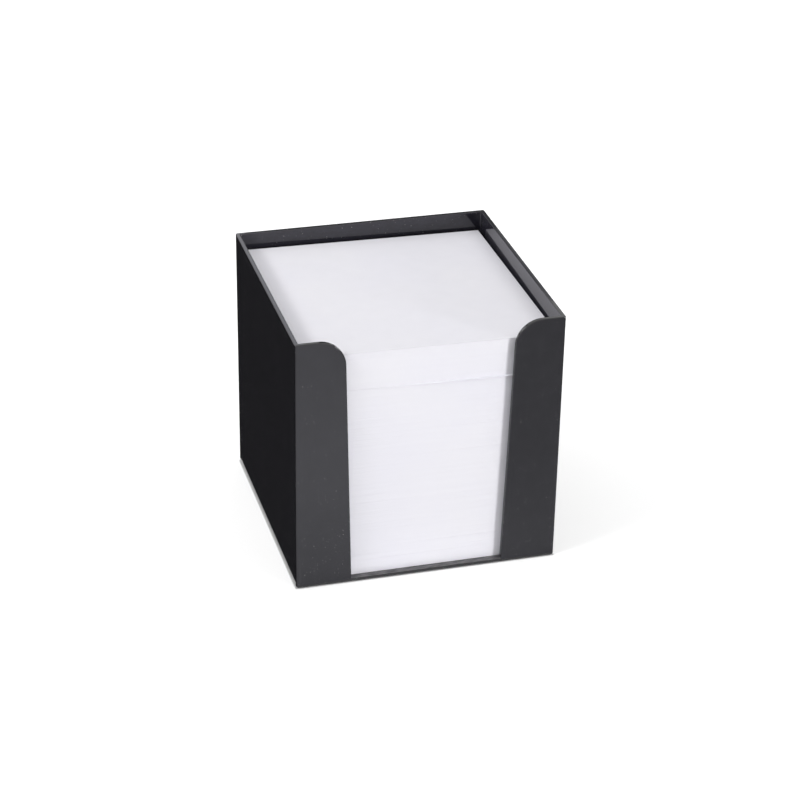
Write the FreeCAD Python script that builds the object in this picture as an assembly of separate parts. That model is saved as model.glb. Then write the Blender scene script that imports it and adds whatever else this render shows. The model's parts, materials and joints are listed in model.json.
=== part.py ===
"""Open note box: one moulded holder with a finger slot, filled with loose square notes.

Millimetres. Origin in the middle of the underside, +Z up, the finger slot faces -Y.
Every node of the assembly is written to parts/NODE.step.
"""
import FreeCAD, Part
import math
import os

# Notes
NOTE_WIDTH = 89.4         # square sheet, nominally 90 and cut a little small
NOTE_THICKNESS = 0.1      # 80 g/m2 paper
NOTE_PLAY = 0.7           # room round a sheet at the floor, each side

# Holder
HEIGHT = 95.0
FLOOR = 1.5
RIM_WALL = 1.5
CAVITY_GROWTH = 0.6       # the cavity widens this much per side from floor to rim
OUTER_GROWTH = 0.1        # the outside widens this much per side from foot to rim
CORNER_RADIUS = 0.8       # outer upright edges
FOOT_SHARE = 0.65         # radius of the edges round the foot, as a share of the floor's thickness
CAVITY_RADIUS = 0.5       # inner upright edges
EDGE_RADIUS = 0.3         # broken edges of the rim and the slot

# Finger slot in the front wall
SLOT_FOOT = 55.0          # width at the floor
SLOT_RIM = 60.0           # width at the rim, before its corners are rounded
SLOT_CORNER = 9.5         # radius of the jambs' top corners

# Underside
FOOT_WIDTH = 4.0          # flat ring that the box stands on
FOOT_RISE = 0.4           # the panel inside the ring is this much higher
GATE_DISH = 3.0           # radius of the dish round the moulding gate
GATE_DISH_DEPTH = 0.3
GATE_STUB = 0.9           # radius of the gate's stub, flush with the panel

# Stack of notes
STACK_DROP = 6.35         # from the rim down to the top note, at its middle
LEAN_X = -0.017           # slope of the top note: its left side is higher
LEAN_Y = 0.006            # and its back edge a little higher than its front
SLIPPED_DROP = 14.2       # from the top note down to the slipped notes
LIFTS_BELOW = 10
LIFTS_ABOVE = 2
SLIPPED_NOTES = 2
TOP_NOTES = 5

# Where each sheet or lift lies, as shares of its play: right, back, and turn counterclockwise.
BELOW_SET = [(0.05, -0.30, 0.08), (-0.10, -0.27, 0.12), (0.08, -0.37, 0.12), (0.00, -0.43, 0.17),
             (0.15, -0.44, 0.17), (0.00, -0.54, 0.22), (0.13, -0.56, 0.22), (0.05, -0.66, 0.27),
             (0.20, -0.69, 0.27), (0.14, -0.76, 0.31)]
SLIPPED_SET = [(0.20, -0.93, -0.03), (0.28, -0.90, 0.03)]
ABOVE_SET = [(0.15, -0.76, 0.31), (0.26, -0.80, 0.30)]
TOP_SET = [(0.25, -0.86, 0.33), (0.31, -0.82, 0.31), (0.22, -0.90, 0.35), (0.30, -0.85, 0.32),
           (0.28, -0.90, 0.34)]

# Sizes that follow from the ones above
CAVITY_FOOT = NOTE_WIDTH + 2 * NOTE_PLAY
CAVITY_RIM = CAVITY_FOOT + 2 * CAVITY_GROWTH
OUTER_RIM = CAVITY_RIM + 2 * RIM_WALL
OUTER_FOOT = OUTER_RIM - 2 * OUTER_GROWTH
FOOT_RADIUS = FOOT_SHARE * FLOOR
STACK_HEIGHT = HEIGHT - STACK_DROP - FLOOR
CORNERS = ((-1, -1), (1, -1), (1, 1), (-1, 1))  # of a square, counterclockwise from above


def block(base, top):
    """A solid with six flat faces, from its four base corners and the four top corners over them."""
    loops = [base[::-1], top] + [[base[k - 1], base[k], top[k], top[k - 1]] for k in range(4)]
    skin = Part.Shell([Part.Face(Part.makePolygon(loop + loop[:1])) for loop in loops])
    skin.sewShape()
    return Part.makeSolid(skin)


def square(side, z):
    """The corners of a level square centred on the Z axis."""
    half = side / 2
    return [FreeCAD.Vector(x * half, y * half, z) for x, y in CORNERS]


def tapered_box(low_side, low, high_side, high, radius):
    """A square box between two heights, its upright edges rounded."""
    box = block(square(low_side, low), square(high_side, high))
    upright = [edge for edge in box.Edges if edge.BoundBox.ZLength > (high - low) / 2]
    return box.makeFillet(radius, upright)


def slot_profile(y):
    """The slot's outline in the plane at y: straight jambs with rounded top corners, open at the top."""
    foot, rim, over = SLOT_FOOT / 2, SLOT_RIM / 2, HEIGHT + RIM_WALL
    down = FreeCAD.Vector(foot - rim, 0, FLOOR - HEIGHT).normalize()
    out = FreeCAD.Vector(1, 0, 0)
    corner = FreeCAD.Vector(rim, y, HEIGHT)
    half_angle = down.getAngle(out) / 2
    reach = SLOT_CORNER / math.tan(half_angle)
    jamb, top = corner + down * reach, corner + out * reach
    bisector = (down + out).normalize()
    mid = corner + bisector * (SLOT_CORNER / math.sin(half_angle) - SLOT_CORNER)
    edges = []
    for side in (1, -1):
        low, low_end, arc_mid, arc_end, high = (
            FreeCAD.Vector(side * p.x, y, p.z) for p in
            (FreeCAD.Vector(foot, y, FLOOR), jamb, mid, top, FreeCAD.Vector(top.x, y, over)))
        edges += [Part.makeLine(low, low_end), Part.Arc(low_end, arc_mid, arc_end).toShape(),
                  Part.makeLine(arc_end, high)]
    edges.append(Part.makeLine(FreeCAD.Vector(-foot, y, FLOOR), FreeCAD.Vector(foot, y, FLOOR)))
    edges.append(Part.makeLine(FreeCAD.Vector(-top.x, y, over), FreeCAD.Vector(top.x, y, over)))
    return Part.Face(Part.Wire(Part.__sortEdges__(edges)))


def level_edges(shape, z):
    """The edges that lie in the level plane at z."""
    return [edge for edge in shape.Edges
            if max(abs(edge.BoundBox.ZMin - z), abs(edge.BoundBox.ZMax - z)) < 1e-4]


def shell():
    """Outer block with its foot rounded, less the cavity and the slot."""
    outside = tapered_box(OUTER_FOOT, 0, OUTER_RIM, HEIGHT, CORNER_RADIUS)
    outside = outside.makeFillet(FOOT_RADIUS, level_edges(outside, 0))
    cavity = tapered_box(CAVITY_FOOT, FLOOR, CAVITY_RIM, HEIGHT, CAVITY_RADIUS)
    reach = OUTER_RIM / 2 + RIM_WALL
    slot = slot_profile(-reach).extrude(FreeCAD.Vector(0, reach, 0))
    return outside.cut(cavity).cut(slot).removeSplitter()


def broken_edges(body):
    """The body with the rim's edges rounded, and with them the slot's, which run on from the rim."""
    rim = [edge for edge in level_edges(body, HEIGHT) if edge.Length > NOTE_WIDTH / 2]
    front = -CAVITY_FOOT / 2 - EDGE_RADIUS
    sill = [edge for edge in level_edges(body, FLOOR) if edge.BoundBox.YMax < front]
    return body.makeFillet(EDGE_RADIUS, rim + sill)


def holder():
    """The moulding: shell with broken edges, foot ring and gate."""
    panel_side = OUTER_FOOT - 2 * (FOOT_RADIUS + FOOT_WIDTH)
    panel = tapered_box(panel_side, 0, panel_side, FOOT_RISE, CORNER_RADIUS)
    dish = Part.makeCylinder(GATE_DISH, GATE_DISH_DEPTH, FreeCAD.Vector(0, 0, FOOT_RISE))
    stub = Part.makeCylinder(GATE_STUB, GATE_DISH_DEPTH, FreeCAD.Vector(0, 0, FOOT_RISE))
    return broken_edges(shell()).cut(panel).cut(dish.cut(stub))


def level(share, x, y):
    """Height of the surface that has this share of the stack below it."""
    return FLOOR + share * (STACK_HEIGHT + LEAN_X * x + LEAN_Y * y)


def paper(low, high, setting):
    """Sheets between two shares of the stack, turned and shifted within the play at that height."""
    right, back, turn = setting
    play = NOTE_PLAY + CAVITY_GROWTH * low * STACK_HEIGHT / (HEIGHT - FLOOR)
    angle = turn * play / (NOTE_WIDTH / 2)
    room = (1 - abs(turn)) * play
    corners = []
    for x, y in CORNERS:
        x, y = x * NOTE_WIDTH / 2, y * NOTE_WIDTH / 2
        corners.append((right * room + x * math.cos(angle) - y * math.sin(angle),
                        back * room + x * math.sin(angle) + y * math.cos(angle)))
    base, lid = ([FreeCAD.Vector(x, y, level(share, x, y)) for x, y in corners] for share in (low, high))
    return block(base, lid)


def stack():
    """Every sheet and lift from the floor up, by node name."""
    sheet = NOTE_THICKNESS / STACK_HEIGHT
    slipped = 1 - SLIPPED_DROP / STACK_HEIGHT
    above, top = slipped + SLIPPED_NOTES * sheet, 1 - TOP_NOTES * sheet
    runs = [(0, slipped, BELOW_SET[:LIFTS_BELOW], "note_lift_{:02d}", 1),
            (slipped, above, SLIPPED_SET[:SLIPPED_NOTES], "slipped_note_{}", 1),
            (above, top, ABOVE_SET[:LIFTS_ABOVE], "note_lift_{:02d}", LIFTS_BELOW + 1),
            (top, 1, TOP_SET[:TOP_NOTES], "top_note_{}", 1)]
    nodes = {}
    for low, high, settings, name, first in runs:
        step = (high - low) / len(settings)
        for k, setting in enumerate(settings):
            nodes[name.format(first + k)] = paper(low + k * step, low + (k + 1) * step, setting)
    return nodes


os.makedirs("parts", exist_ok=True)
holder().exportStep("parts/holder.step")
for node, shape in stack().items():
    shape.exportStep("parts/" + node + ".step")
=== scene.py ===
"""Open note box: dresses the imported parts, lights them and sets the camera.

Metres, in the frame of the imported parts: origin in the middle of the underside, +Z up, and the
finger slot faces -Y. The moulded holder keeps its CAD mesh. Each solid that stands for a lift of
paper is replaced by a pile of single sheets, and each loose note by one thin, softly waved sheet.
"""
import json
import math
import random

import bpy
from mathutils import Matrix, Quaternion, Vector, noise

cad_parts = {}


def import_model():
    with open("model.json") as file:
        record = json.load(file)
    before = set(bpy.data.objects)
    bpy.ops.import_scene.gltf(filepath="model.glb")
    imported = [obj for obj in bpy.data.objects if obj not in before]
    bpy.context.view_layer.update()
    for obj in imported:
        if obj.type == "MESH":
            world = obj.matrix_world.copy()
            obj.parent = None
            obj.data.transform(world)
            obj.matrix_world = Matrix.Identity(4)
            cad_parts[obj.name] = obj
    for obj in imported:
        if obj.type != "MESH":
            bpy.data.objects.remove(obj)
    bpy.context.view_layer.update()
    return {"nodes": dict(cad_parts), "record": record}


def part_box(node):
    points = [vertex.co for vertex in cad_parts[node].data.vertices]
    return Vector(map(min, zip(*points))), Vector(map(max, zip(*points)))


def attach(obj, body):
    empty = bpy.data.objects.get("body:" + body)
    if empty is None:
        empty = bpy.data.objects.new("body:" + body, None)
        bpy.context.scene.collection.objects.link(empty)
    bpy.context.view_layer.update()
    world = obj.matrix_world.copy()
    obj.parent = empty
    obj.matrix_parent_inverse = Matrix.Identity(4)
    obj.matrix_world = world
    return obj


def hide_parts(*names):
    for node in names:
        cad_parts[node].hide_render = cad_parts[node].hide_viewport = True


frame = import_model()

MM = 0.001
SEED = 11
random.seed(SEED)

# Camera
CAMERA_AT = Vector((-0.20326, -0.72068, 0.43948))
CAMERA_AIM = Vector((0.0026, 0.0, 0.0442))
CAMERA_ROLL = math.radians(1.04)
LENS = 105.0
SENSOR = 36.0

# Distant lamps: azimuth to the right of the front, elevation, strength in W/m2, angular size, and
# whether glossy surfaces mirror them. Angles in degrees.
SUNS = {"key": (43, 3.5, 1.83, 11, True),
        "high": (43, 40, 0.27, 24, True),
        "side": (-76, 35, 1.17, 16, True),
        "top": (180, 62, 1.22, 110, False)}
WORLD_FILL = 0.34

# Strip that lights the stack's foot: width, depth and watts
FOOT_LAMP = (0.056, 0.007, 0.0006)

# Floor
FLOOR_SIZE = 6.0
FLOOR_ALBEDO = 0.75
FLOOR_GLOW = 0.50                   # seen by the camera and in reflections only
CONTACT = 0.3 * MM                  # width of the contact shadow, where the glow fades

# Cards: what lies on the floor in reflections only. A place is left, front, right and back. Tones
# are (distance in front of FRONT_EDGE, brightness) stops, one row for the left, one for the right.
CARD_LIFT = 0.0005
CARD_GLOW = 1.25                    # strength of a card whose colour is white
CARD_TINT = (0.89, 0.89, 0.957)
CARD_END = 2.0                      # how far out the cards on the floor reach
FRONT_EDGE = -0.0478                # y at which they begin in front of the box
SIDE_EDGE = 0.048                   # distance at which they begin beside it and behind it
FRONT_CARD = (-CARD_END, -CARD_END, CARD_END, FRONT_EDGE)
# The darker tones within about 10 mm of FRONT_EDGE are painted contact shade, which reflections
# show under the box's front.
LEFT_TONES = ((0.0, 0.72), (0.003, 0.84), (0.010, 0.95), (0.060, 1.18), (0.090, 1.20),
              (0.160, 1.07), (0.30, 1.0), (0.60, 1.2))
RIGHT_TONES = ((0.0, 0.64), (0.003, 0.72), (0.012, 0.76), (0.080, 0.61), (0.160, 0.575),
               (0.30, 0.64), (0.60, 1.2))
CHANGE = (0.005, 0.045)             # x over which the left tones give way to the right ones
FRONT_FADE = (0.095, 0.35)          # distance to either side over which the front card fades
FADE_LEFT = 0.08                    # share of its brightness that is left there

# Dark cards beside and behind the box: the place of each, and the left and right tone that it has
# at FRONT_EDGE. It leads from there to DARK_TONES over DARK_LEAD.
# They glow only in reflections, where they paint the floor beside and behind the box dark.
DARK_TONES = (0.02, 0.25)
DARK_CHANGE = (-0.045, 0.30)
DARK_LEAD = 0.10
DARK_CARDS = {"left_card": ((-CARD_END, -SIDE_EDGE, -SIDE_EDGE, CARD_END), DARK_TONES),
              "right_card": ((SIDE_EDGE, FRONT_EDGE, CARD_END, CARD_END), (0.64, 0.64)),
              "back_card": ((-SIDE_EDGE, SIDE_EDGE, SIDE_EDGE, CARD_END), DARK_TONES)}

# Flags: level cards up behind the box, whose painted reflections grade the rim. Each has its place
# and its one tone.
FLAG_HEIGHT = 0.15
FLAGS = {"inner_flag": ((-0.019, 0.068, 0.065, 0.150), 0.05),
         "left_flag": ((-0.30, 0.020, -0.019, 0.30), 1.36),
         "back_flag": ((-0.019, 0.150, 0.30, 0.30), 0.20),
         "right_flag": ((0.065, 0.075, 0.30, 0.150), 0.48)}

# Noise patterns: how the coordinates are stretched, features per metre, detail and roughness
EVEN = (1, 1, 1)
FLOW = (1, 1, 0.45), 55, 2.0, 0.5
HAZE = EVEN, 240, 4.0, 0.5
GRAIN = EVEN, 5200, 2.0, 0.5
UPRIGHT_SCUFFS = (1, 1, 0.035), 900, 2.0, 0.6
LEVEL_SCUFFS = (0.05, 0.04, 1), 900, 2.0, 0.6
DUST = EVEN, 2400, 1.0, 0.5
FILM_AND_REFLECTION_STREAKS = (0.2, 1, 1), 1400, 3.0, 0.6
RUB_AND_LIGHT_STREAKS = (0.4, 0.4, 1), 600, 3.0, 0.6
CAST = EVEN, 24, 2.0, 0.5
FIBRE = EVEN, 4200, 3.0, 0.65
SOFT = (0.3, 0.7)                   # range of a noise that is mapped from end to end

# Plastic. Colours are linear, and a range runs from none of a thing to all of it.
BODY_DARK, BODY_LIGHT = (0.0092, 0.0088, 0.0108), (0.0122, 0.0117, 0.0142)
SCUFF_RANGE = (0.66, 0.74)
SCUFF_COLOUR = (0.05, 0.05, 0.052)
SCUFF_SHARE = 0.12                  # of that colour in a full scuff
# Inner faces lighter: haze rubbed in by the notes, and partly painted light from the white paper.
RUB_AND_PAINTED_LIGHT_COLOUR = (0.024, 0.023, 0.032)
RUB_AND_LIGHT_LEAST = 0.55                    # share of it in the weakest streak
RUB_AND_LIGHT_DEPTH = 1.45 * MM               # from the outside in to where the lighter inner faces begin
RUB_AND_LIGHT_EDGE = 0.1 * MM                 # over which the rub haze and its painted light end there
# Up-facing faces near the floor lighter: settled dust, and partly a painted reflection of the
# white paper on the top of the slot's floor.
FILM_AND_REFLECTION_COLOUR = (0.15, 0.147, 0.15)
FILM_AND_REFLECTION_RANGE = (0.35, 0.7)
FILM_AND_REFLECTION_LEAST = 0.25
FILM_AND_REFLECTION_HEIGHT = (2 * MM, 4 * MM)      # heights between which the film and its painted reflection end
FILM_AND_REFLECTION_SLOPE = (0.5, 0.9)             # upward part of the normal
DUST_COLOUR = (0.32, 0.31, 0.30)
DUST_RANGE = (0.742, 0.772)
DUST_PATCHES = (0.45, 0.6)          # of the haze's noise
SHEEN = (0.04, 0.08)                # least and most roughness
SCUFF_ROUGHNESS = 0.08              # added by scuffs
DUST_ROUGHNESS = 0.6                # and by dust
PLASTIC_IOR = 1.59
PLASTIC_RELIEF = ((FLOW, 0.25, 0.12 * MM), (GRAIN, 0.05, 0.01 * MM))

# Paper
FACE_MOTTLE = (160, 160, 160)       # features per metre along each axis
EDGE_MOTTLE = (35, 35, 9000)        # of the cut edges, which so show sheet by sheet
MOTTLE_NOISE = 1.0, 3.0, 0.6
PAPER_DARK, PAPER_LIGHT = (0.825, 0.817, 0.860), (0.840, 0.832, 0.875)
CAST_RANGE = (0.35, 0.65)
CAST_DARK, CAST_LIGHT = (0.985, 0.985, 1.0), (1.0, 1.0, 1.0)
PAPER_ROUGHNESS = (0.72, 0.9)
PAPER_SPECULAR = 0.3
PAPER_RELIEF = ((FIBRE, 0.25, 0.012 * MM),)

# Piled sheets
SHEET = 0.1 * MM                    # thickness of one sheet
SHEET_FILL = 0.96                   # share of its pitch that a sheet takes up
SIDE_STEPS = 6                      # outline points on each side
JOG = 0.011 * MM                    # how far a sheet lies off its neighbours
SKEW = math.radians(0.03)           # how far it is turned off them
DRIFT = 0.035 * MM                  # how far the pile wanders over many sheets
DRIFT_REACH = 2.2 * MM              # height over which it wanders
DRIFT_IN_Y = Vector((7, 0, 0))      # to the slice of the noise that moves it in y
TRIM = 0.03 * MM                    # unevenness of a cut edge
TRIM_REACH = 14 * MM
TRIM_STEP = 0.4 * MM                # in the noise from one sheet's edge to the next

# Loose notes
GRID = 36                           # cells across
WAVE = 0.02 * MM                    # how far a note's face may lie off the one below
WAVE_REACH = 38 * MM
WAVE_STEP = 10 * MM                 # in the noise from one note to the next
LIFT = 0.008 * MM                   # how far its edge is lifted as well
LIFT_POWER = 6                      # the more, the closer to the edge the lift stays
NOTE_TRIM = 0.0012                  # share by which it is cut smaller than its solid


# --- Shader helpers

def new_material(name):
    """An empty node material with its output and Principled shader: (material, tree, shader)."""
    material = bpy.data.materials.new(name)
    material.use_nodes = True
    tree = material.node_tree
    tree.nodes.clear()
    shader = tree.nodes.new("ShaderNodeBsdfPrincipled")
    output = tree.nodes.new("ShaderNodeOutputMaterial")
    tree.links.new(shader.outputs["BSDF"], output.inputs["Surface"])
    return material, tree, shader


def coordinates(tree, stretch=EVEN):
    """Object coordinates, stretched."""
    source = tree.nodes.new("ShaderNodeTexCoord")
    mapping = tree.nodes.new("ShaderNodeMapping")
    mapping.inputs["Scale"].default_value = stretch
    tree.links.new(source.outputs["Object"], mapping.inputs["Vector"])
    return mapping.outputs["Vector"]


def axes(tree, vector):
    """The X, Y and Z of a vector."""
    split = tree.nodes.new("ShaderNodeSeparateXYZ")
    tree.links.new(vector, split.inputs["Vector"])
    return split.outputs


def cloud(tree, stretch, per_metre, detail, rough):
    """Noise in a pattern, about 0.5 all over."""
    node = tree.nodes.new("ShaderNodeTexNoise")
    node.inputs["Scale"].default_value = per_metre
    node.inputs["Detail"].default_value = detail
    node.inputs["Roughness"].default_value = rough
    tree.links.new(coordinates(tree, stretch), node.inputs["Vector"])
    return node.outputs["Fac"]


def ramp(tree, value, low, high, at_low=0.0, at_high=1.0):
    """value, mapped from low..high to at_low..at_high and held outside."""
    node = tree.nodes.new("ShaderNodeMapRange")
    ends = {"From Min": low, "From Max": high, "To Min": at_low, "To Max": at_high}
    for name, number in ends.items():
        node.inputs[name].default_value = number
    tree.links.new(value, node.inputs["Value"])
    return node.outputs["Result"]


def combine(tree, operation, a, b):
    """Two values, or a value and a number, put together."""
    node = tree.nodes.new("ShaderNodeMath")
    node.operation = operation
    tree.links.new(a, node.inputs[0])
    if isinstance(b, float):
        node.inputs[1].default_value = b
    else:
        tree.links.new(b, node.inputs[1])
    return node.outputs["Value"]


def distance(tree, value):
    """A value without its sign."""
    return combine(tree, "ABSOLUTE", value, 0.0)


def off_centre(tree):
    """How far out a point lies, counted in squares: the larger of its distances in x and y."""
    at = axes(tree, coordinates(tree))
    return combine(tree, "MAXIMUM", distance(tree, at["X"]), distance(tree, at["Y"]))


def mix_colours(tree, share, low, high, blend="MIX"):
    """Colour that goes from low to high; each is a colour or another colour output."""
    node = tree.nodes.new("ShaderNodeMix")
    node.data_type, node.blend_type = "RGBA", blend
    if isinstance(share, float):
        node.inputs["Factor"].default_value = share
    else:
        tree.links.new(share, node.inputs["Factor"])
    for socket, colour in ((node.inputs[6], low), (node.inputs[7], high)):
        if isinstance(colour, tuple):
            socket.default_value = (*colour, 1)
        else:
            tree.links.new(colour, socket)
    return node.outputs[2]


def relief(tree, shader, layers):
    """Bump from (pattern, strength, depth in metres) layers, the broadest first."""
    normal = None
    for pattern, strength, depth in layers:
        node = tree.nodes.new("ShaderNodeBump")
        node.inputs["Strength"].default_value = strength
        node.inputs["Distance"].default_value = depth
        tree.links.new(cloud(tree, *pattern), node.inputs["Height"])
        if normal:
            tree.links.new(normal, node.inputs["Normal"])
        normal = node.outputs["Normal"]
    tree.links.new(normal, shader.inputs["Normal"])


# --- Materials

def settled_film_and_reflection(tree):
    """Streaky lighter film on what faces up near the floor: dust that settles where the notes
    never wipe it off, and partly a painted reflection of the paper on the top of the slot's floor.
    """
    normal = tree.nodes.new("ShaderNodeNewGeometry").outputs["Normal"]
    up = ramp(tree, axes(tree, normal)["Z"], *FILM_AND_REFLECTION_SLOPE)
    low = ramp(tree, axes(tree, coordinates(tree))["Z"], *FILM_AND_REFLECTION_HEIGHT, 1.0, 0.0)
    streaks = ramp(tree, cloud(tree, *FILM_AND_REFLECTION_STREAKS), *FILM_AND_REFLECTION_RANGE, FILM_AND_REFLECTION_LEAST, 1.0)
    return combine(tree, "MULTIPLY", combine(tree, "MULTIPLY", up, low), streaks)


def rubbed_and_painted_light(tree):
    """Lighter haze on the inner faces of the walls: rubbed in by the notes, and partly painted
    light that the white paper throws on them.
    """
    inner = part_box("holder")[1].x - RUB_AND_LIGHT_DEPTH
    inside = ramp(tree, off_centre(tree), inner, inner + RUB_AND_LIGHT_EDGE, 1.0, 0.0)
    streaks = ramp(tree, cloud(tree, *RUB_AND_LIGHT_STREAKS), *SOFT, RUB_AND_LIGHT_LEAST, 1.0)
    return combine(tree, "MULTIPLY", inside, streaks)


def black_plastic():
    """Glossy moulded polystyrene: flow waves, hairline scuffs, rubbed haze with painted light on
    the inner faces, film with a painted reflection near the floor, and dust.
    """
    material, tree, shader = new_material("moulded_polystyrene")
    haze = cloud(tree, *HAZE)
    scuff = combine(tree, "MAXIMUM", *(ramp(tree, cloud(tree, *pattern), *SCUFF_RANGE)
                                       for pattern in (UPRIGHT_SCUFFS, LEVEL_SCUFFS)))
    dust = combine(tree, "MULTIPLY", ramp(tree, cloud(tree, *DUST), *DUST_RANGE),
                   ramp(tree, haze, *DUST_PATCHES))
    colour = mix_colours(tree, ramp(tree, haze, *SOFT), BODY_DARK, BODY_LIGHT)
    for share, layer in ((combine(tree, "MULTIPLY", scuff, SCUFF_SHARE), SCUFF_COLOUR),
                         (rubbed_and_painted_light(tree), RUB_AND_PAINTED_LIGHT_COLOUR),
                         (settled_film_and_reflection(tree), FILM_AND_REFLECTION_COLOUR),
                         (dust, DUST_COLOUR)):
        colour = mix_colours(tree, share, colour, layer)
    tree.links.new(colour, shader.inputs["Base Color"])
    roughness = ramp(tree, haze, *SOFT, *SHEEN)
    for share, more in ((scuff, SCUFF_ROUGHNESS), (dust, DUST_ROUGHNESS)):
        roughness = combine(tree, "ADD", roughness, combine(tree, "MULTIPLY", share, more))
    tree.links.new(roughness, shader.inputs["Roughness"])
    shader.inputs["IOR"].default_value = PLASTIC_IOR
    relief(tree, shader, PLASTIC_RELIEF)
    return material


def note_paper(name, mottle):
    """Uncoated white paper, mottled with so many features per metre along each axis."""
    material, tree, shader = new_material(name)
    sheet = mix_colours(tree, ramp(tree, cloud(tree, mottle, *MOTTLE_NOISE), *SOFT),
                        PAPER_DARK, PAPER_LIGHT)
    cast = mix_colours(tree, ramp(tree, cloud(tree, *CAST), *CAST_RANGE), CAST_DARK, CAST_LIGHT)
    tree.links.new(mix_colours(tree, 1.0, sheet, cast, "MULTIPLY"), shader.inputs["Base Color"])
    tree.links.new(ramp(tree, cloud(tree, *FIBRE), *SOFT, *PAPER_ROUGHNESS),
                   shader.inputs["Roughness"])
    shader.inputs["Specular IOR Level"].default_value = PAPER_SPECULAR
    relief(tree, shader, PAPER_RELIEF)
    return material


PLASTIC = black_plastic()
PAPER_FACE = note_paper("paper_face", FACE_MOTTLE)
PAPER_EDGE = note_paper("paper_edge", EDGE_MOTTLE)


# --- Paper

def corners(node):
    """A paper solid's lower and upper corners, each four in order round it."""
    columns = {}
    for vertex in frame["nodes"][node].data.vertices:
        at = round(vertex.co.x, 5), round(vertex.co.y, 5)
        columns.setdefault(at, []).append(vertex.co)
    ordered = sorted(columns.values(), key=lambda points: math.atan2(points[0].y, points[0].x))
    return ([min(points, key=lambda p: p.z).copy() for points in ordered],
            [max(points, key=lambda p: p.z).copy() for points in ordered])


def mixed(low, high, share):
    """Corners between two sets of corners."""
    return [a.lerp(b, share) for a, b in zip(low, high)]


def within(quad, u, v):
    """Point of a four-cornered patch."""
    return quad[0].lerp(quad[1], u).lerp(quad[3].lerp(quad[2], u), v)


def level_with(quad, plan):
    """A quad's heights, at another's places."""
    return [Vector((at.x, at.y, point.z)) for point, at in zip(quad, plan)]


def unevenness(place):
    """Noise at a place, from 0 to 1."""
    return 0.5 + 0.5 * noise.noise(place)


def mesh_piece(name, vertices, faces, edge_faces):
    """A mesh object of paper, its cut edges in their own material."""
    mesh = bpy.data.meshes.new(name)
    mesh.from_pydata(vertices, [], faces)
    mesh.materials.append(PAPER_FACE)
    mesh.materials.append(PAPER_EDGE)
    for index in edge_faces:
        mesh.polygons[index].material_index = 1
    mesh.update()
    piece = bpy.data.objects.new(name, mesh)
    bpy.context.scene.collection.objects.link(piece)
    return piece


def outline(quad, sheet):
    """Points round a sheet's edge, cut a little unevenly between its corners."""
    points = []
    for side in range(4):
        start, end = quad[side], quad[(side + 1) % 4]
        along = (end - start).normalized()
        outward = Vector((along.y, -along.x, 0))
        for step in range(SIDE_STEPS):
            point = start.lerp(end, step / SIDE_STEPS)
            place = Vector((point.x, point.y, sheet * TRIM_STEP)) / TRIM_REACH
            points.append(point - outward * (TRIM * (unevenness(place) if step else 0.5)))
    return points


def nudged(quad, height):
    """A sheet's corners, shifted and turned off its neighbours."""
    place = Vector((0, 0, height / DRIFT_REACH))
    shift = Vector((noise.noise(place) * DRIFT + random.gauss(0, JOG),
                    noise.noise(place + DRIFT_IN_Y) * DRIFT + random.gauss(0, JOG), 0))
    turn = random.gauss(0, SKEW)
    middle = sum(quad, Vector()) / 4
    arms = [point - middle for point in quad]
    return [point + shift + Vector((-arm.y, arm.x, 0)) * turn for point, arm in zip(quad, arms)]


def joint_plan(node, neighbour):
    """Where the sheets between two lifts lie: half way, so that the pile has no ledge there."""
    own = corners(node)[0]
    return mixed(own, corners(neighbour)[0], 0.5) if neighbour else own


def pile(name, node, below, above):
    """A lift of paper as single sheets, which lead over to the lifts below and above it."""
    low, high = corners(node)
    ends = joint_plan(node, below), joint_plan(node, above)
    count = round((high[0].z - low[0].z + high[2].z - low[2].z) / 2 / SHEET)
    half = Vector((0, 0, (high[0].z - low[0].z) / count * SHEET_FILL / 2))
    loop = 4 * SIDE_STEPS
    vertices, faces, edge_faces = [], [], []
    for k in range(count):
        share = (k + 0.5) / count
        off_middle = 2 * share - 1      # from -1 at the foot of the lift to 1 at its top
        quad = mixed(low, high, share)
        plan = mixed(quad, ends[off_middle > 0], off_middle ** 2)
        ring = outline(nudged(level_with(quad, plan), quad[0].z), k)
        first = len(vertices)
        vertices += [point - half for point in ring] + [point + half for point in ring]
        faces.append(tuple(first + i for i in reversed(range(loop))))
        faces.append(tuple(first + loop + i for i in range(loop)))
        for i in range(loop):
            j = (i + 1) % loop
            edge_faces.append(len(faces))
            faces.append((first + i, first + j, first + loop + j, first + loop + i))
    return mesh_piece(name, vertices, faces, edge_faces)


def note(name, node, curl, order):
    """One loose note: a thin sheet, waved and lifted at its edges by curl times as much."""
    vertices, faces, edge_faces = [], [], []
    for solid in corners(node):
        middle = sum(solid, Vector()) / 4
        quad = [point.lerp(middle, NOTE_TRIM) for point in solid]
        for j in range(GRID + 1):
            for i in range(GRID + 1):
                u, v = i / GRID, j / GRID
                point = within(quad, u, v)
                reach = max(abs(2 * u - 1), abs(2 * v - 1))
                wave = unevenness(Vector((point.x, point.y, order * WAVE_STEP)) / WAVE_REACH)
                point.z += curl * (wave * WAVE + LIFT * reach ** LIFT_POWER)
                vertices.append(point)
    row, layer = GRID + 1, (GRID + 1) ** 2
    for j in range(GRID):
        for i in range(GRID):
            a = j * row + i
            faces.append((a, a + row, a + row + 1, a + 1))
            faces.append((layer + a, layer + a + 1, layer + a + row + 1, layer + a + row))
    rim = [*range(GRID), *(GRID + j * row for j in range(GRID)),
           *(GRID * row + GRID - i for i in range(GRID)), *((GRID - j) * row for j in range(GRID))]
    for a, b in zip(rim, rim[1:] + rim[:1]):
        edge_faces.append(len(faces))
        faces.append((a, b, layer + b, layer + a))
    piece = mesh_piece(name, vertices, faces, edge_faces)
    for polygon in piece.data.polygons:
        polygon.use_smooth = polygon.material_index == 0
    cut = {key for index in edge_faces for key in piece.data.polygons[index].edge_keys}
    for edge in piece.data.edges:
        edge.use_edge_sharp = edge.key in cut
    return piece


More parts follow.
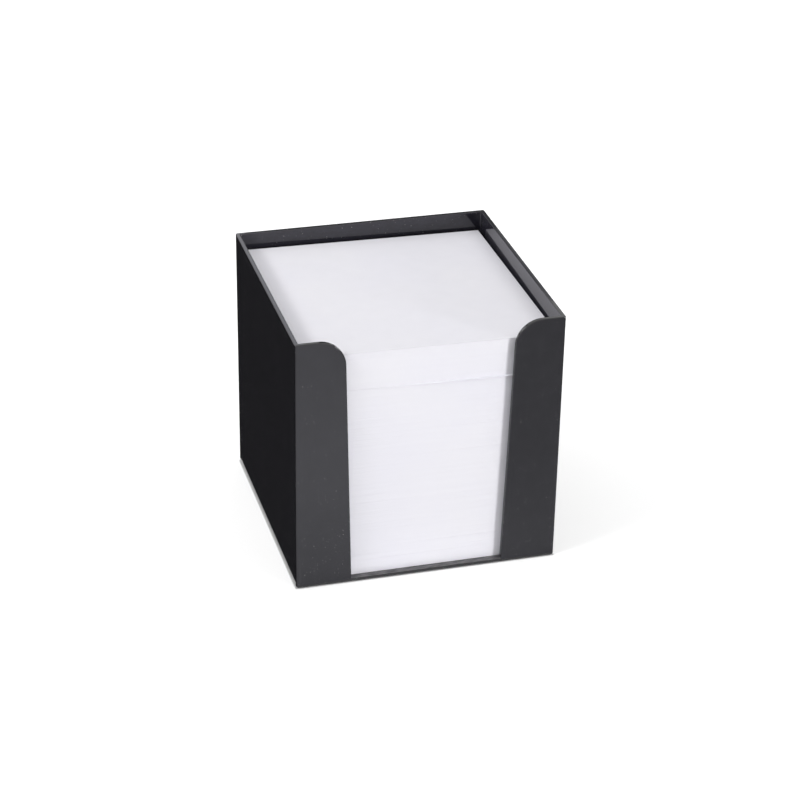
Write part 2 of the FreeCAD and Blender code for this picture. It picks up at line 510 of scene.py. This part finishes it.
def dress_paper():
    """Every paper solid replaced by its sheets, on the same body."""
    lifts = [None, *sorted(node for node in frame["nodes"] if node.startswith("note_lift")), None]
    for body, members in frame["record"]["behaviour"]["bodies"].items():
        for node in members:
            if node.startswith("note_lift"):
                place = lifts.index(node)
                name = node.replace("note_lift", "pile")
                piece = pile(name, node, lifts[place - 1], lifts[place + 1])
            elif node.startswith(("slipped_note", "top_note")):
                order = int(node[-1])
                curl = 0 if body == "note_block" else order - 1
                piece = note(node.replace("note", "sheet"), node, curl, order)
            else:
                continue
            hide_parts(node)
            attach(piece, body)


def dress_holder():
    """The moulding keeps its CAD mesh and takes the plastic."""
    for material_slot in frame["nodes"]["holder"].material_slots:
        material_slot.material = PLASTIC


# --- Surroundings

def plane(name, place, height, material):
    """A level rectangle."""
    left, front, right, back = place
    mesh = bpy.data.meshes.new(name)
    mesh.from_pydata([(left, front, height), (right, front, height),
                      (right, back, height), (left, back, height)], [], [(0, 1, 2, 3)])
    mesh.materials.append(material)
    item = bpy.data.objects.new(name, mesh)
    bpy.context.scene.collection.objects.link(item)
    return item


def seen_directly(tree):
    """1 for rays that show the background: from the camera, mirrored or through clear things."""
    path = tree.nodes.new("ShaderNodeLightPath")
    either = combine(tree, "MAXIMUM", path.outputs["Is Camera Ray"], path.outputs["Is Glossy Ray"])
    return combine(tree, "MAXIMUM", either, path.outputs["Is Transmission Ray"])


def matt(name, albedo):
    """Plain matt surface of the surroundings: (material, tree, shader)."""
    material, tree, shader = new_material(name)
    shader.inputs["Base Color"].default_value = (albedo, albedo, albedo, 1)
    shader.inputs["Roughness"].default_value = 1.0
    shader.inputs["Specular IOR Level"].default_value = 0.0
    return material, tree, shader


def floor():
    """Pale floor that keeps the box's shadow and is white elsewhere.

    It glows where it is seen, but not in the contact shadow round the box.
    """
    material, tree, shader = matt("floor", FLOOR_ALBEDO)
    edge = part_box("holder")[1].x
    clear = ramp(tree, off_centre(tree), edge, edge + CONTACT, 0.0, FLOOR_GLOW)
    shader.inputs["Emission Color"].default_value = (1, 1, 1, 1)
    tree.links.new(combine(tree, "MULTIPLY", seen_directly(tree), clear),
                   shader.inputs["Emission Strength"])
    half = FLOOR_SIZE / 2
    plane("floor", (-half, -half, half, half), 0, material)


def graded(tree, value, tones):
    """Grey that follows (value, brightness) stops, as a share of CARD_GLOW."""
    first, last = tones[0][0], tones[-1][0]
    node = tree.nodes.new("ShaderNodeValToRGB")
    stops = node.color_ramp.elements
    while len(stops) < len(tones):
        stops.new(0.5)
    for stop, (place, tone) in zip(stops, tones):
        stop.position = (place - first) / (last - first)
        stop.color = (*(tone / CARD_GLOW * part for part in CARD_TINT), 1)
    tree.links.new(ramp(tree, value, first, last), node.inputs["Fac"])
    return node.outputs["Color"]


def card(name, place, left_tones, right_tones, change, height=CARD_LIFT, fade=None):
    """Level card beside the box or over it, which only reflections show."""
    material, tree, shader = matt(name, 0)
    at = axes(tree, coordinates(tree))
    ahead = combine(tree, "MULTIPLY", combine(tree, "ADD", at["Y"], -FRONT_EDGE), -1.0)
    tones = [graded(tree, ahead, stops) for stops in (left_tones, right_tones)]
    tree.links.new(mix_colours(tree, ramp(tree, at["X"], *change), *tones),
                   shader.inputs["Emission Color"])
    strength = shader.inputs["Emission Strength"]
    if fade:
        glow = ramp(tree, distance(tree, at["X"]), *fade, CARD_GLOW, CARD_GLOW * FADE_LEFT)
        tree.links.new(glow, strength)
    else:
        strength.default_value = CARD_GLOW
    item = plane(name, place, height, material)
    item.visible_camera = item.visible_diffuse = False
    item.visible_shadow = item.visible_transmission = False


def cards():
    """What the glossy plastic mirrors, besides the floor and the world."""
    card("front_card", FRONT_CARD, LEFT_TONES, RIGHT_TONES, CHANGE, fade=FRONT_FADE)
    for name, (place, front_tones) in DARK_CARDS.items():
        tones = (((-DARK_LEAD, tone), (0.0, at_front))
                 for tone, at_front in zip(DARK_TONES, front_tones))
        card(name, place, *tones, DARK_CHANGE)
    for name, (place, tone) in FLAGS.items():
        tones = ((0.0, tone), (1.0, tone))
        card(name, place, tones, tones, CHANGE, FLAG_HEIGHT)


def lamp_object(name, lamp, towards):
    """The object of a lamp, which shines from that direction."""
    item = bpy.data.objects.new(name, lamp)
    item.rotation_mode = "QUATERNION"
    item.rotation_quaternion = towards.to_track_quat("Z", "Y")
    bpy.context.scene.collection.objects.link(item)
    return item


def sun(name, azimuth, elevation, strength, size, mirrored):
    """Soft distant lamp, which glossy surfaces may mirror."""
    lamp = bpy.data.lights.new(name, "SUN")
    lamp.energy, lamp.angle = strength, math.radians(size)
    a, e = math.radians(azimuth), math.radians(elevation)
    towards = Vector((math.sin(a) * math.cos(e), -math.cos(a) * math.cos(e), math.sin(e)))
    lamp_object(name, lamp, towards).visible_glossy = mirrored


def foot_lamp():
    """Strip on the floor in front of the slot, which lights only the foot of the stack."""
    width, depth, power = FOOT_LAMP
    lamp = bpy.data.lights.new("foot", "AREA")
    lamp.shape, lamp.size, lamp.size_y, lamp.energy = "RECTANGLE", width, depth, power
    item = lamp_object("foot", lamp, Vector((0, 0, -1)))
    item.location = (0, FRONT_EDGE - depth / 2, CARD_LIFT)
    item.visible_camera = item.visible_glossy = item.visible_transmission = False


def world():
    """White where it is seen, and a plain grey fill where it lights."""
    sky = bpy.data.worlds.new("studio")
    sky.use_nodes = True
    tree = sky.node_tree
    back = tree.nodes["Background"]
    back.inputs["Color"].default_value = (1, 1, 1, 1)
    tree.links.new(ramp(tree, seen_directly(tree), 0, 1, WORLD_FILL, 1.0), back.inputs["Strength"])
    bpy.context.scene.world = sky


def camera():
    """The camera, at the height and side the object is seen from."""
    lens = bpy.data.cameras.new("camera")
    lens.lens, lens.sensor_width = LENS, SENSOR
    item = bpy.data.objects.new("camera", lens)
    item.location = CAMERA_AT
    item.rotation_mode = "QUATERNION"
    level = (CAMERA_AIM - CAMERA_AT).to_track_quat("-Z", "Y")
    item.rotation_quaternion = level @ Quaternion((0, 0, 1), CAMERA_ROLL)
    bpy.context.scene.collection.objects.link(item)
    bpy.context.scene.camera = item


dress_holder()
dress_paper()
floor()
cards()
for sun_name, settings in SUNS.items():
    sun(sun_name, *settings)
foot_lamp()
world()
camera()
bpy.context.scene.view_settings.view_transform = "Standard"
